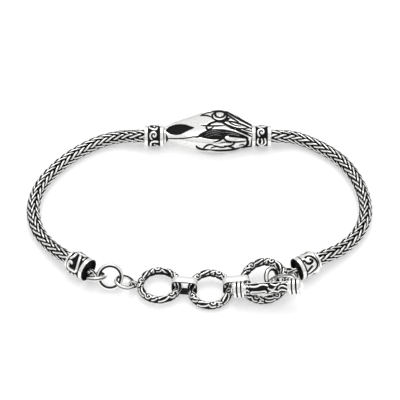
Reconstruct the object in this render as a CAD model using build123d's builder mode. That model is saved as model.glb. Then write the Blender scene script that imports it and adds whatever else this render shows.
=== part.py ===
"""Silver eagle head bracelet with woven chains, cup caps, ornate rings and a toggle."""
import os
from math import asin, cos, radians, sin, tan

from build123d import *

# All lengths are millimetres and all angles are degrees.
# X runs along the head, Y from the toggle to the head, Z up from the table.

# Woven chain
chain_width = 3.1
chain_socket = 1.6
chain_fit = 0.06
chain_straight = 3.6

# Eagle head, measured from the bead axis that runs through it
head_length = 20.65
head_rise = 7.45
head_drop = 4.2
head_half = 2.75
head_axis_y = 23.5
head_start_x = -8.5
relief_depth = 0.28
groove_width = 0.36
eye_ring_radius = 1.8
eye_rim = 0.34
collar_radius = 2.0
collar_width = 0.5
spigot_length = 1.5
table_gap = 0.05

# Beads beside the head
bead_radius = 2.65
bead_length = 4.4
bead_flange = 0.75
bead_gap = 0.1
scroll_height = 0.35
scroll_stroke = 0.42
scroll_count = 5

# Cup caps at the chain ends
cap_radius = 2.75
cap_length = 5.2
cap_neck_radius = 2.1
cap_flange = 0.5
cap_rim = 0.6
cap_band_gap = 0.35
cap_mouth_wall = 0.6
cap_mouth_depth = 0.6
cap_scroll_count = 5
stud_count = 14
cap_eye_radius = 1.3
cap_eye_wire = 0.38

# Ornate rings
ring_radius = 4.2
ring_core = 0.72
ring_relief = 0.88
rib_count = 24
rib_width = 0.36
rib_lean = 32
small_eye_radius = 0.86
small_eye_wire = 0.3
small_eye_sink = 0.24
small_eye_heading = 177

# Toggle ring
toggle_radius = 4.65
toggle_core = 0.79
toggle_relief = 0.95
toggle_far_tilt = 15
toggle_right_tilt = 9
toggle_x = 14.05
toggle_y = -21.8
toggle_rib_count = 26

# Flat band links
band_width = 1.8
band_wall = 0.55
band_height = 4.3
band_corner = 1.4
band_play = 0.17
band_seat = 0.12
ring_gap = 0.97
toggle_gap = 1.28
ring_turn = -6.0
toggle_turn = 7.9
middle_ring_tilt = 9

# Toggle bar
bar_half_length = 7.9
bar_middle_radius = 1.3
bar_middle_core = 1.08
bar_end_radius = 1.9
bar_end_start = 4.9
bar_tip_start = 7.1
bar_groove = 0.3
bar_nearer = 3.25
bar_sideways = 0.75
bar_turn = -3
bar_seat_gap = 0.07
bar_rib_count = 5
bar_rib_width = 0.42
bar_band_count = 3
bar_loop_radius = 1.8
bar_loop_wire = 0.5
bar_loop_along = 0.95
bar_loop_dip = 15
bar_loop_azimuth = -32
bar_loop_elevation = 32

# Plain rings
first_radius, first_wire = 1.8, 0.5
second_radius, second_wire = 2.5, 0.48
third_radius, third_wire = 1.96, 0.42
fourth_radius, fourth_wire = 2.45, 0.4
fifth_radius, fifth_wire = 2.3, 0.4

# Loose links: name, ring radius, wire radius, heading and climb to it, play, azimuth and elevation of its axis
left_links = [
    ("jump_ring_3", third_radius, third_wire, 173.4, 14.1, 0.13, 36.0, 72.0),
    ("jump_ring_2", second_radius, second_wire, 166.3, 14.8, 0.12, -88.3, 41.3),
    ("jump_ring_1", first_radius, first_wire, 176.6, -2.3, 0.31, 97.2, 59.0),
]
right_links = [
    ("jump_ring_4", fourth_radius, fourth_wire, 19.2, -38.9, 0.34, 98.3, 18.7),
    ("jump_ring_5", fifth_radius, fifth_wire, 38.3, -21.2, 1.82, -121.1, 72.5),
]
# Caps: heading and climb from the last link to the eye, play, heading of the mouth, eye ahead, eye below, eye roll
left_cap_place = (128.9, -20.5, 0.42, -37.7, 0.93, 0.49, -8.3)
right_cap_place = (50.2, 18.1, 0.72, -148.1, 0.8, 0.0, 31.9)

# Chain routes between the beads and the caps
left_route = [
    (-18.9, 24.25, 1.95),
    (-23.6, 23.0, 1.6),
    (-29.0, 19.2, 1.55),
    (-33.6, 14.1, 1.55),
    (-37.15, 7.8, 1.55),
    (-38.25, 0.8, 1.55),
    (-36.7, -6.0, 1.55),
    (-33.1, -11.1, 1.65),
]
right_route = [
    (22.8, 24.1, 1.8),
    (28.0, 21.3, 1.55),
    (32.8, 17.1, 1.55),
    (36.0, 11.3, 1.55),
    (37.7, 4.9, 1.55),
    (37.75, -1.6, 1.55),
    (35.4, -7.3, 1.55),
    (31.7, -11.6, 1.65),
]

# Head sections: along, crown, throat and side, as shares of the four head sizes
head_sections = [
    (0.00, 0.28, 0.20, 0.51),
    (0.10, 0.49, 0.39, 0.56),
    (0.30, 0.73, 0.75, 0.80),
    (0.58, 1.00, 1.00, 1.00),
    (0.70, 0.97, 0.95, 1.00),
    (0.81, 0.76, 0.77, 1.00),
    (0.92, 0.48, 0.54, 0.96),
    (1.00, 0.30, 0.46, 0.90),
]
# Section corners: how far up the crown and down the throat, and how wide
crown_corner = (0.88, 0.74)
throat_corner = (0.86, 0.80)

# Grooves on both sides, from, through and to, as shares of head length and rise
side_grooves = [
    (0.706, 0.70, 0.853, 0.42, 0.985, 0.13),
    (0.750, 0.56, 0.876, 0.31, 0.985, 0.06),
    (0.729, 0.44, 0.864, 0.19, 0.985, -0.04),
    (0.660, 0.27, 0.797, -0.02, 0.975, -0.16),
    (0.446, -0.06, 0.640, 0.06, 0.930, -0.17),
    (0.030, -0.07, 0.200, -0.17, 0.370, -0.24),
    (0.420, 0.62, 0.490, 0.64, 0.550, 0.58),
    (0.500, 0.20, 0.560, 0.34, 0.640, 0.42),
]
# Grooves on the throat, as shares of head length and half thickness
throat_grooves = [
    (0.40, -0.02, 0.60, -0.48, 0.90, -0.10),
    (0.44, 0.22, 0.60, -0.10, 0.84, -0.14),
    (0.50, 0.36, 0.68, 0.12, 0.90, 0.14),
    (0.54, 0.58, 0.70, 0.44, 0.92, 0.36),
]
# Eye, cheek hollow and feather hollow, as shares of head length and rise
eye_place = (0.640, 0.64)
cheek_hollow = [(0.030, 0.06), (0.160, 0.32), (0.340, 0.05), (0.150, -0.13)]
feather_hollow = [(0.370, -0.26), (0.640, 0.00), (0.960, -0.22), (0.660, -0.38)]
# A spiral scroll as half circles: start, top and end, as shares of its radius
scroll_arcs = [
    (1.00, 0.00, 0.00, 1.00, -1.00, 0.00),
    (-1.00, 0.00, -0.25, -0.75, 0.50, 0.00),
    (0.50, 0.00, 0.05, 0.45, -0.40, 0.00),
]


def facing(azimuth, elevation):
    """The unit vector with this azimuth and elevation."""
    flat = cos(radians(elevation))
    return Vector(flat * cos(radians(azimuth)), flat * sin(radians(azimuth)), sin(radians(elevation)))


def placed(solid, centre, axis):
    """The solid with its own z axis turned to the given axis."""
    return solid.moved(Plane(origin=centre, z_dir=axis).location)


def upright(solid, centre, axis):
    """The same, with its own y axis as nearly up as can be."""
    side = Vector(0, 0, 1).cross(axis)
    return solid.moved(Plane(origin=centre, x_dir=side, z_dir=axis).location)


def arcs(rows, across, up):
    """Three point arcs from rows of shares."""
    for x1, y1, x2, y2, x3, y3 in rows:
        ThreePointArc((x1 * across, y1 * up), (x2 * across, y2 * up), (x3 * across, y3 * up))


def head_section(along, crown, throat, side, grow):
    """One cross section of the head, grown outward by a length."""
    high = crown * head_rise + grow
    low = throat * head_drop + grow
    half = side * head_half + grow
    crown_y, crown_z = crown_corner[0] * high, crown_corner[1] * half
    throat_y, throat_z = throat_corner[0] * low, throat_corner[1] * half
    middle = (crown_y - throat_y) / 2
    with BuildSketch(Plane.YZ.offset(along * head_length)) as section:
        with BuildLine():
            ThreePointArc((crown_y, crown_z), (high, 0), (crown_y, -crown_z))
            ThreePointArc((crown_y, -crown_z), (middle, -half), (-throat_y, -throat_z))
            ThreePointArc((-throat_y, -throat_z), (-low, 0), (-throat_y, throat_z))
            ThreePointArc((-throat_y, throat_z), (middle, half), (crown_y, crown_z))
        make_face()
    return section.sketch


def head_shell(grow):
    """The head without its relief."""
    with BuildPart() as shell:
        loft([head_section(*row, grow) for row in head_sections])
    return shell.part


def leaf(points):
    """A leaf shape from left, top, right and bottom points, as shares of head length and rise."""
    (x1, y1), (x2, y2), (x3, y3), (x4, y4) = [(a * head_length, b * head_rise) for a, b in points]
    with BuildSketch() as shape:
        with BuildLine():
            ThreePointArc((x1, y1), (x2, y2), (x3, y3))
            ThreePointArc((x3, y3), (x4, y4), (x1, y1))
        make_face()
    return shape.sketch


def eagle_head():
    """The head along X from the bead axis, crown toward Y."""
    eye_x, eye_y = eye_place[0] * head_length, eye_place[1] * head_rise
    reach = head_half + head_rise
    with BuildPart() as cuts:
        with BuildSketch():
            with BuildLine():
                arcs(side_grooves, head_length, head_rise)
            trace(line_width=groove_width)
            with Locations((eye_x, eye_y)):
                Circle(eye_ring_radius + eye_rim / 2)
                Circle(eye_ring_radius - eye_rim / 2, mode=Mode.SUBTRACT)
                Circle(eye_ring_radius * 0.5 + eye_rim / 2)
                Circle(eye_ring_radius * 0.5 - eye_rim / 2, mode=Mode.SUBTRACT)
            add(leaf(cheek_hollow))
            add(leaf(feather_hollow))
        extrude(amount=reach, both=True)
        with BuildSketch(Plane.XZ):
            with BuildLine():
                arcs(throat_grooves, head_length, head_half)
            trace(line_width=groove_width)
        extrude(amount=reach)
        add(head_shell(-relief_depth), mode=Mode.SUBTRACT)
    with BuildPart() as head:
        add(head_shell(0))
        add(cuts.part, mode=Mode.SUBTRACT)
        with Locations((collar_width / 2, 0, 0)):
            Cylinder(collar_radius, collar_width, rotation=(0, 90, 0))
        ends = (-spigot_length / 2, head_length + spigot_length / 2)
        with Locations(*[(x, 0, 0) for x in ends]):
            Cylinder(chain_width / 2, spigot_length, rotation=(0, 90, 0))
    return head.part


def band_of_scrolls(radius, ground, centre_z, width, count):
    """Spiral scrolls standing round a drum, with a dot between each pair."""
    size = (width - scroll_stroke) / 2 - 0.08
    base = ground - scroll_height
    with BuildPart() as relief:
        for k in range(count):
            turn = 360 * k / count
            out = facing(turn, 0)
            with BuildSketch(Plane(origin=out * base + Vector(0, 0, centre_z), x_dir=(0, 0, 1), z_dir=out)):
                with BuildLine():
                    arcs(scroll_arcs, size, size)
                trace(line_width=scroll_stroke)
            extrude(amount=radius)
            out = facing(turn + 180 / count, 0)
            with BuildSketch(Plane(origin=out * base + Vector(0, 0, centre_z), x_dir=(0, 0, 1), z_dir=out)):
                with Locations((0.55 * size, 0), (-0.55 * size, 0)):
                    Circle(scroll_stroke * 0.6)
            extrude(amount=radius)
        with Locations((0, 0, centre_z)):
            Cylinder(radius, width, mode=Mode.INTERSECT)
    return relief.part


def bead():
    """A bead along Z, centred on its middle."""
    ground = bead_radius - scroll_height
    half = bead_length / 2
    with BuildPart() as body:
        Cylinder(ground, bead_length)
        with Locations((0, 0, half - bead_flange / 2), (0, 0, bead_flange / 2 - half)):
            Cylinder(bead_radius, bead_flange)
        rims = body.edges().filter_by(GeomType.CIRCLE).filter_by(lambda e: e.radius > ground + scroll_height / 2)
        fillet(rims, min(bead_flange, scroll_height) * 0.45)
        add(band_of_scrolls(bead_radius - 0.05, ground, 0, bead_length - 2 * bead_flange, scroll_count))
        Cylinder(chain_width / 2 + chain_fit, bead_length, mode=Mode.SUBTRACT)
    return body.part


def cap(eye_ahead, eye_below, eye_roll):
    """A cup cap along Z from its chain end, with the eye in its mouth."""
    ground = cap_radius - scroll_height
    scroll_start = cap_flange + cap_band_gap
    stud_end = cap_length - cap_rim
    stud_width = scroll_height * 2
    ring_start = stud_end - stud_width - cap_band_gap
    with BuildPart() as body:
        Cylinder(cap_neck_radius, cap_flange, align=(Align.CENTER, Align.CENTER, Align.MIN))
        with Locations((0, 0, cap_flange)):
            Cone(cap_neck_radius - scroll_height, ground, cap_band_gap, align=(Align.CENTER, Align.CENTER, Align.MIN))
        with Locations((0, 0, scroll_start)):
            Cylinder(ground, cap_length - scroll_start, align=(Align.CENTER, Align.CENTER, Align.MIN))
        with Locations((0, 0, ring_start)):
            Cylinder(cap_radius, cap_band_gap, align=(Align.CENTER, Align.CENTER, Align.MIN))
        with Locations((0, 0, stud_end)):
            Cylinder(cap_radius, cap_rim, align=(Align.CENTER, Align.CENTER, Align.MIN))
        add(band_of_scrolls(cap_radius - 0.05, ground, (scroll_start + ring_start) / 2,
                            ring_start - scroll_start, cap_scroll_count))
        with Locations((0, 0, stud_end - stud_width / 2)):
            with PolarLocations(ground, stud_count):
                Sphere(scroll_height * 0.8)
        Cylinder(chain_width / 2 + chain_fit, chain_socket + 2 * chain_fit,
                 align=(Align.CENTER, Align.CENTER, Align.MIN), mode=Mode.SUBTRACT)
        with Locations((0, 0, cap_length)):
            Cylinder(cap_radius - cap_mouth_wall, cap_mouth_depth,
                     align=(Align.CENTER, Align.CENTER, Align.MAX), mode=Mode.SUBTRACT)
        with Locations((0, -eye_below, cap_length + eye_ahead)):
            Torus(cap_eye_radius, cap_eye_wire, rotation=(-90, 90 - eye_roll, 0))
    return body.part


def ribbed_ring(radius, core, relief, count):
    """A round ring about Z with slanted ribs round its wire."""
    with BuildPart() as rib:
        Cylinder(relief, rib_width)
        chamfer(rib.edges().filter_by(GeomType.CIRCLE), rib_width * 0.3)
    with BuildPart() as ring:
        Torus(radius, core)
        with PolarLocations(radius, count):
            add(rib.part, rotation=(90 + rib_lean, 0, 0))
    return ring.part


def plain_ring(radius, wire):
    """A round ring about Z."""
    with BuildPart() as ring:
        Torus(radius, wire)
    return ring.part


def band_link(reach, near_wire, far_wire):
    """A flat band link along X round two wires that lie this far apart."""
    length = reach + near_wire + far_wire + 2 * band_play + 2 * band_wall
    with BuildPart() as link:
        with BuildSketch(Plane.XZ):
            RectangleRounded(length, band_height, band_corner)
            RectangleRounded(length - 2 * band_wall, band_height - 2 * band_wall, band_corner - band_wall,
                             mode=Mode.SUBTRACT)
        extrude(amount=band_width / 2, both=True)
        chamfer(link.edges().group_by(Axis.Y)[-1] + link.edges().group_by(Axis.Y)[0], band_wall * 0.2)
    return link.part


def bar_profile():
    """The bar's outline from its middle to one tip, as radius and height pairs, without the dome."""
    points = []
    pitch = 2 * bar_end_start / (2 * bar_rib_count + 1)
    for k in range(bar_rib_count + 1):
        for shift, radius in ((-0.5, bar_middle_core), (-0.25, bar_middle_radius),
                              (0.25, bar_middle_radius), (0.5, bar_middle_core)):
            height = k * pitch + shift * bar_rib_width
            if height > 0:
                points.append((radius, height))
    points.append((bar_middle_core, bar_end_start))
    floor_radius = bar_end_radius - bar_groove
    band = (bar_tip_start - bar_end_start - (bar_band_count - 1) * bar_groove) / bar_band_count
    for k in range(bar_band_count):
        start = bar_end_start + k * (band + bar_groove)
        points += [(bar_end_radius, start), (bar_end_radius, start + band), (floor_radius, start + band)]
        if k < bar_band_count - 1:
            points.append((floor_radius, start + band + bar_groove))
    return points


def toggle_bar(loop_axis):
    """The bar along Z about its middle, its loop toward Y with the given axis."""
    half = bar_profile()
    floor_radius = bar_end_radius - bar_groove
    dome_height = bar_half_length - bar_tip_start
    dome_radius = (floor_radius ** 2 + dome_height ** 2) / (2 * dome_height)
    half_way = asin(min(1, floor_radius / dome_radius)) / 2
    shoulder = dome_radius * sin(half_way)
    shoulder_height = bar_half_length - dome_radius * (1 - cos(half_way))
    reach = bar_middle_radius + bar_loop_radius
    dip = radians(bar_loop_dip)
    with BuildPart() as bar:
        with BuildSketch(Plane.XZ):
            with BuildLine():
                ThreePointArc((0, -bar_half_length), (shoulder, -shoulder_height), (floor_radius, -bar_tip_start))
                Polyline(*[(r, -z) for r, z in reversed(half)], *half)
                ThreePointArc((floor_radius, bar_tip_start), (shoulder, shoulder_height), (0, bar_half_length))
                Line((0, bar_half_length), (0, -bar_half_length))
            make_face()
        revolve(axis=Axis.Z)
        add(placed(plain_ring(bar_loop_radius, bar_loop_wire),
                   Vector(reach * sin(dip), reach * cos(dip), bar_loop_along), loop_axis))
    return bar.part


def chain(points, radii):
    """A plain tube along straight runs joined by tangent arcs."""
    with BuildPart() as tube:
        with BuildLine() as route:
            FilletPolyline(*points, radius=radii)
        path = route.wire()
        with BuildSketch(Plane(origin=path @ 0, z_dir=path % 0)):
            Circle(chain_width / 2)
        sweep(path=path)
    return tube.part, path.length


def route_radii(points):
    """The arc at each corner: nine twentieths of the shorter run over the tangent of half the turn."""
    radii = []
    for before, here, after in zip(points, points[1:], points[2:]):
        first, second = here - before, after - here
        turn = radians(first.get_angle(second))
        radii.append(0.45 * min(first.length, second.length) / tan(turn / 2))
    return radii


pieces = {}
upward = Vector(0, 0, 1)

# Head and beads
axis_z = head_half + table_gap
head_end_x = head_start_x + head_length
pieces["eagle_head"] = eagle_head().moved(Location((head_start_x, head_axis_y, axis_z)))
bead_offset = bead_gap + bead_length / 2
left_bead_x = head_start_x - bead_offset
right_bead_x = head_end_x + bead_offset
bead_shape = bead()
pieces["bead_left"] = placed(bead_shape, (left_bead_x, head_axis_y, axis_z), (-1, 0, 0))
pieces["bead_right"] = placed(bead_shape, (right_bead_x, head_axis_y, axis_z), (1, 0, 0))

# Toggle ring
slope_right, slope_far = tan(radians(toggle_right_tilt)), tan(radians(toggle_far_tilt))
toggle_axis = Vector(-slope_right, -slope_far, 1).normalized()
toggle_slant = radians(toggle_axis.get_angle(upward))
toggle_heading = facing(180 + toggle_turn, 0)
toggle_drop = -toggle_radius * (toggle_heading.X * slope_right + toggle_heading.Y * slope_far) * cos(toggle_slant)
toggle_z = table_gap + band_wall + band_seat + toggle_relief + toggle_drop
toggle_centre = Vector(toggle_x, toggle_y, toggle_z)
pieces["toggle_ring"] = placed(ribbed_ring(toggle_radius, toggle_core, toggle_relief, toggle_rib_count),
                               toggle_centre, toggle_axis)

# Ornate rings, each leftward from the one before
ring_z = table_gap + band_wall + band_seat + ring_relief
toggle_pitch = toggle_radius + toggle_relief + ring_radius + ring_relief + toggle_gap
middle_centre = Vector(toggle_x, toggle_y, ring_z) + toggle_heading * toggle_pitch
ring_shape = ribbed_ring(ring_radius, ring_core, ring_relief, rib_count)
middle_axis = facing(-90, 90 - middle_ring_tilt)
pieces["ornate_ring_2"] = placed(ring_shape, middle_centre, middle_axis)
ring_pitch = 2 * (ring_radius + ring_relief) + ring_gap
outer_heading = facing(180 + ring_turn, 0)
outer_centre = middle_centre + outer_heading * ring_pitch
small_eye_reach = ring_radius + ring_relief + small_eye_radius - small_eye_sink
small_eye_centre = outer_centre + facing(small_eye_heading, 0) * small_eye_reach
with BuildPart() as outer_ring:
    add(placed(ring_shape, outer_centre, upward))
    add(placed(plain_ring(small_eye_radius, small_eye_wire), small_eye_centre, facing(small_eye_heading - 90, 0)))
pieces["ornate_ring_1"] = outer_ring.part


def band_between(right, right_radius, right_relief, right_axis, left, left_radius, left_relief, left_axis):
    """A band link round the nearest wires of two rings."""
    heading = (left - right).normalized()

    def wire(centre, axis, radius, way):
        flat = (way - axis * way.dot(axis)).normalized()
        return centre + flat * radius

    start = wire(right, right_axis, right_radius, heading)
    end = wire(left, left_axis, left_radius, heading * -1)
    span = Vector(end.X - start.X, end.Y - start.Y, 0)
    link = band_link(span.length, right_relief, left_relief)
    middle = start + span / 2
    origin = (middle.X, middle.Y, table_gap + band_height / 2)
    return link.moved(Plane(origin=origin, x_dir=span, z_dir=upward).location)


pieces["band_link_2"] = band_between(toggle_centre, toggle_radius, toggle_relief, toggle_axis,
                                     middle_centre, ring_radius, ring_relief, middle_axis)
pieces["band_link_1"] = band_between(middle_centre, ring_radius, ring_relief, middle_axis,
                                     outer_centre, ring_radius, ring_relief, upward)

# Toggle bar
far_way = (Vector(0, 1, 0) - toggle_axis * toggle_axis.Y).normalized()
right_way = far_way.cross(toggle_axis)
turn = radians(bar_turn)
bar_way = right_way * cos(turn) + far_way * sin(turn)
bar_lift = toggle_relief + bar_end_radius + bar_seat_gap
bar_centre = toggle_centre + right_way * bar_sideways - far_way * bar_nearer + toggle_axis * bar_lift
bar_frame = Plane(origin=bar_centre, x_dir=toggle_axis * -1, z_dir=bar_way)
loop_axis = facing(bar_loop_azimuth, bar_loop_elevation)
local_axis = bar_frame.to_local_coords(bar_centre + loop_axis)
pieces["toggle_bar"] = toggle_bar(local_axis).moved(bar_frame.location)
loop_reach = bar_middle_radius + bar_loop_radius
dip = radians(bar_loop_dip)
loop_centre = bar_frame.from_local_coords(
    Vector(loop_reach * sin(dip), loop_reach * cos(dip), bar_loop_along))


def link_row(start, start_radius, start_wire, links):
    """Places each loose link after the one before, and returns the last one's centre and sizes."""
    centre, radius, wire = start, start_radius, start_wire
    for name, next_radius, next_wire, heading, climb, play, azimuth, elevation in links:
        step = radius + next_radius - wire - next_wire - play
        centre = centre + facing(heading, climb) * step
        radius, wire = next_radius, next_wire
        pieces[name] = placed(plain_ring(radius, wire), centre, facing(azimuth, elevation))
    return centre, radius, wire


def cap_and_chain(side, last, place, bead_x, route):
    """Places a cap after the last loose link, and a chain from the bead to it."""
    heading, climb, play, mouth_heading, eye_ahead, eye_below, eye_roll = place
    centre, radius, wire = last
    step = radius + cap_eye_radius - wire - cap_eye_wire - play
    eye = centre + facing(heading, climb) * step
    axis = facing(mouth_heading, 0)
    chain_end = Vector(eye.X, eye.Y, cap_radius + table_gap) - axis * (cap_length + eye_ahead)
    pieces["cap_" + side] = upright(cap(eye_ahead, eye_below, eye_roll), chain_end, axis)
    way = -1 if side == "left" else 1
    mouth_x = bead_x + way * bead_length / 2
    points = [Vector(mouth_x - way * chain_socket, head_axis_y, axis_z),
              Vector(mouth_x + way * (chain_straight - chain_socket), head_axis_y, axis_z)]
    points += [Vector(*point) for point in route]
    points += [chain_end - axis * (chain_straight - chain_socket), chain_end + axis * chain_socket]
    radii = route_radii(points)
    tube, length = chain(points, radii)
    print("chain_" + side, "length", round(length, 2), "radii", [round(r, 1) for r in radii])
    pieces["chain_" + side] = tube


left_end = link_row(small_eye_centre, small_eye_radius, small_eye_wire, left_links)
cap_and_chain("left", left_end, left_cap_place, left_bead_x, left_route)
right_end = link_row(loop_centre, bar_loop_radius, bar_loop_wire, right_links)
cap_and_chain("right", right_end, right_cap_place, right_bead_x, right_route)

# The whole bracelet is moved so that it stands over the origin
boxes = [solid.bounding_box() for solid in pieces.values()]
low = [min(tuple(box.min)[k] for box in boxes) for k in range(3)]
high = [max(tuple(box.max)[k] for box in boxes) for k in range(3)]
home = Location((-(low[0] + high[0]) / 2, -(low[1] + high[1]) / 2, -low[2]))
print("moved by", home.position, "size", [round(b - a, 2) for a, b in zip(low, high)])
os.makedirs("parts", exist_ok=True)
for name, solid in pieces.items():
    piece = solid.moved(home)
    piece.label = name
    export_step(piece, f"parts/{name}.step")
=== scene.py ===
"""Dressed model of a silver eagle head bracelet that lies closed on a white floor."""
from math import cos, pi, radians, sin

import bmesh
import bpy
import numpy as np
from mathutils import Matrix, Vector


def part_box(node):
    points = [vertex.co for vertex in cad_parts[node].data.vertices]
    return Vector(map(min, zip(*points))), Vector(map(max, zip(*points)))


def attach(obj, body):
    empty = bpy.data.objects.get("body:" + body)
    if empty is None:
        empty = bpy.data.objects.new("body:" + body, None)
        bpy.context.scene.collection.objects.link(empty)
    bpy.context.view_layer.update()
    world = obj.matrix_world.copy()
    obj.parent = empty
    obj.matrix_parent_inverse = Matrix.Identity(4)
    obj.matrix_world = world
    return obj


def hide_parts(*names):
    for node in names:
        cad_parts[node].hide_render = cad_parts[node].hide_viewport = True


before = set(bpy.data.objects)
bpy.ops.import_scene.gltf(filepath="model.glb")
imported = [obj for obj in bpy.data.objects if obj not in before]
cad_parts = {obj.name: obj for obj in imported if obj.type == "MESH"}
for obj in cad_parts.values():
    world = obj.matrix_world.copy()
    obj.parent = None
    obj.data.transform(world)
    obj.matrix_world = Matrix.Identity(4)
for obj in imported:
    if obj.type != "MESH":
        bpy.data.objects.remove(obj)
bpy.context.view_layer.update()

# Lengths on the bracelet are millimetres, and a pair named fade is where a mark starts and where it ends
mm = 0.001
loop_shift = np.array((0.1158, -1.2788, 0.0))

# Where the photograph was taken from, and the clip in metres
camera_angle = radians(46)
camera_distance = 420.0
camera_lens = 166.3
camera_clip = (0.01, 20)
camera_aim = (0.116, 0.683, 3.394)

# Floor in metres, and sky, where a band is given by its start, its end and the level at each
floor_reach = 2.0
floor_height = -0.00002
front_band = (-0.5, 0.1, 0.55, 0.0)
sky_band = (0.1, 0.6, 0.72, 1.0)

# Silver: how much roughness and height the black, the grain and the scratches give
black_roughness = 0.35
grain_roughness = 0.06
scratch_roughness = 0.08
grain_height = 0.4
scratch_height = 0.6

# Ways, and a small length that keeps steps and poles open
along_row = (1, 0, 0)
upright = (0, 0, 1)
hair = 0.02

# Strokes: their edges and tips, as shares of their width and length
stroke_edges = (0.55, 1.45)
tip_width = 0.35
tip_places = (0.02, 0.98)

# Woven chain
chain_half = 1.54
strand_radius = 0.27
strand_length = 3.7
strand_lean = 17.0
strand_dip = 0.42
strand_dip_start = 0.55
strand_steps = 13
strand_sides = 9
strand_columns = 8
strand_wander = 0.04
weave_pitch = 2.12
weave_start = 0.4
weave_end = 0.4
chain_core = 0.95
core_sides = 12
weave_seed = 3
route_steps = 24
# Where strands turn black: on their flanks, painted dark reflection, and deep in the weave, patina and
# painted shade
flank_fade = (0.68, 0.86)
deep_fade = (0.78, 0.9)

# Eagle head
head_length = 20.65
head_rise = 7.45
head_drop = 4.2
head_half = 2.75
head_start = np.array((-8.5, 23.5, 2.8))
head_squareness = 3.8
head_rows = 262
head_columns = 340
carving_start = 0.012
carving_end = 0.99
groove_depth = 0.26
line_weight = 1.5
# Painted shade on the head: grey on the crown and the throat, darker along edges seen side-on
crown_shade = 0.2
throat_shade = 0.1
edge_shade = 0.35
hollow_depth = 0.42
collar_radius = 2.0
collar_shade_fade = (collar_radius - 0.15, collar_radius - 0.05)
collar_width = 0.5
collar_bore = 1.2
collar_corner = 0.1
collar_columns = 72
spigot_radius = 1.5
spigot_length = 1.4
spigot_tip = 0.2
spigot_sink = 0.05
spigot_columns = 48
pixels_along = 4.255
pixels_up = 3.03
side_pixel = (163.5, 136.0)
side_y_pixels = 3.057
side_z_pixels = 2.95

# Carving of the head, whose underside mirrors the upper side below one height
mirror_height = -2.2
view_up = 0.72
view_near = 0.69
seam_fade = (0.02, 0.14)
seen_fade = (-0.3, -0.1)
far_depth = 0.2
far_depth_fade = (0.05, 0.5)
tone_fade = (0.1, 0.6)
level_fade = (0.75, 0.95)
edge_reach = 0.12
edge_fade = 0.1
hatch_width = 0.17
hatch_depth = 0.55
eye_ring = 1.76
eye_ring_fade = (0.12, 0.32)
eye_zone_fade = (2.05, 2.2)
eye_clear_fade = (1.62, 1.78)
crescent_width = 0.5
pupil_height = 0.16
pupil_fade = (0.55, 0.8)
iris_height = 0.12
iris_start_fade = (0.95, 1.3)
iris_end_fade = (1.4, 1.75)
almond_edge = 0.07
hollow_edge = 0.09
hollow_share = 0.75
ridge_width = 0.26
ridge_height = 0.2
ridge_shine = 0.55
crown_fade = (0.55, 0.8)
plume_pitch = 0.62
plume_wave = 0.25
plume_bend = 0.9
plume_fade = (0.12, 0.42)
plume_start = (0.6 * head_length, 0.68 * head_length)
plume_end = (0.96 * head_length, 0.99 * head_length)
plume_depth = 0.7
plume_tone = 0.9

# Beads and caps
bead_radius = 2.65
bead_half = 2.2
bead_flange = 0.75
bead_margin = 0.1
bead_motif = 0.98
bead_grid = (264, 0.075)
bead_face_depth = 0.03
bead_face_shade_fade = (bead_radius - 0.25, bead_radius - 0.05)
bore_radius = 1.6
relief_height = 0.34
stroke_width = 0.46
wide_stroke = 0.6
motif_reach = 1.7
drum_margin = 0.3
wall_fade = 0.12
cap_radius = 2.75
cap_length = 5.2
cap_neck = 2.1
cap_mouth = 2.25
cap_mouth_floor = 4.55
cap_neck_top = 0.62
cap_neck_shade_fade = (cap_neck - 0.25, cap_neck - 0.08)
cap_band = (2.5, 1.65)
cap_motif = 1.25
cap_grid = (272, 0.08)
eye_seam = (0.1, 0.2, 1)

# Beads: side, middle along the row, angle of the first motif, and motifs
bead_rows = [
    ("left", -10.8, -18.0, ["arch", "scroll", "hook"] * 2),
    ("right", 14.45, -35.0, ["hook", "scroll", "leaf"] * 2),
]
# Caps: side, chain end, heading, eye's centre and axis, angle of the first motif, motifs, stroke, cut or not
cap_rows = [
    ("left", (-28.597, -15.735, 2.8), -37.7, (-23.747, -19.484, 2.31), (0.61, 0.78, 0.14),
     127.4, ["jay", "leaf", "scroll", "hook"], wide_stroke, False),
    ("right", (25.718, -15.936, 2.8), -148.1, (20.624, -19.106, 2.8), (0.45, -0.72, -0.53),
     50.6, ["curl", "scroll", "curl", "leaf"], stroke_width, True),
]

# Rings and bar
vine_repeat = 5.3
vine_half = 1.35
inner_line = 0.45
inner_fade = 0.2
vine_grid = (440, 70)
small_eye_centre = (-14.557, -21.982, 1.6)
small_eye_axis = (0.052, 0.9986, 0)
bar_half = 7.9
bar_end_start = 4.9
bar_tip_start = 7.1
bar_end_radius = 1.9
bar_middle_top = 1.3
bar_middle_ground = 1.1
bar_face = 44.0
bar_centre = (14.48, -25.689, 4.614)
bar_way = (0.9886, -0.0506, 0.1428)
bar_loop_centre = (15.575, -22.64, 4.764)
bar_loop_axis = (-32, 32)
bar_groove_depth = 0.3
bar_middle_margin = 0.08
bar_ring_place = 0.22
bar_ring_fade = (0.1, 0.2)
bar_shine = 0.05
bar_grid = (144, 0.09)
band_width = 1.8
band_wall = 0.55
band_corner = 1.4
band_corner_steps = 12
band_columns = 28
band_side_power = 0.55
band_wall_power = 0.75
# Band links: painted shade on the inner wall and painted dark lines along the edges
band_inner_fade = (0.1, 0.5)
band_edge_line = 0.9
band_edge_fade = (0.8, 0.97)
band_headings = (174.0, 187.9)
# Painted dark reflection lines of plain rings: on the inner shoulders, and fainter round the rim
shoulder_place = 0.3
shoulder_fade = (0.38, 0.56)
rim_line = 0.7
rim_fade = (0.9, 0.97)
link_seam = (0.9, 0.3, 0.2)

# Eyes and the loop: radius, wire, and points round the ring and round its wire
cap_eye = (1.3, 0.38, 72, 20)
small_eye = (0.86, 0.3, 64, 16)
bar_loop = (1.8, 0.5, 96, 24)
# Sizes of ornate rings: radius, core, top of the relief, and repeats
small_ring = (4.2, 0.7, 0.88, 5)
large_ring = (4.65, 0.77, 0.95, 6)
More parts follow.
